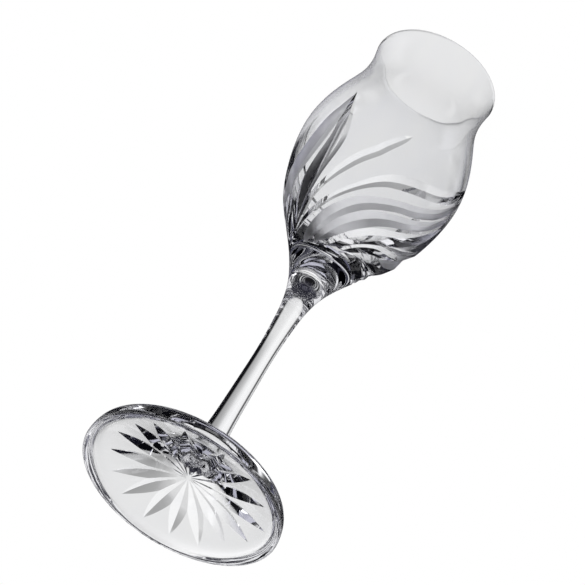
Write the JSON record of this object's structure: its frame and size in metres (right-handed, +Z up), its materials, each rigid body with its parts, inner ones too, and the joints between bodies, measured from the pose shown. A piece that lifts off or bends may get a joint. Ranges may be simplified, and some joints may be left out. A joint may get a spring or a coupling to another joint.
{
  "type": "schnapps glass",
  "caption": "Cut-crystal schnapps glass: tulip bowl with a flared lip and cut leaf-and-wave ornament, slim drawn stem, and a sloping round foot with a star-cut hollow underside.",
  "frame": {"origin": "centre of the foot's resting plane", "axes": "+Z up along the axis of the glass; -Y is the side that the picture shows, +X to its right"},
  "size_m": [0.0538, 0.0538, 0.15],
  "materials": {
    "crystal_bowl": "clear polished lead crystal with cut ornament, some of the cuts left satin matt",
    "crystal_stem": "clear fire-polished lead crystal",
    "crystal_foot": "clear polished lead crystal with a polished star cut underneath"
  },
  "bodies": {
    "root": {"bowl": "crystal_bowl", "stem": "crystal_stem", "foot": "crystal_foot"}
  },
  "joints": []
}
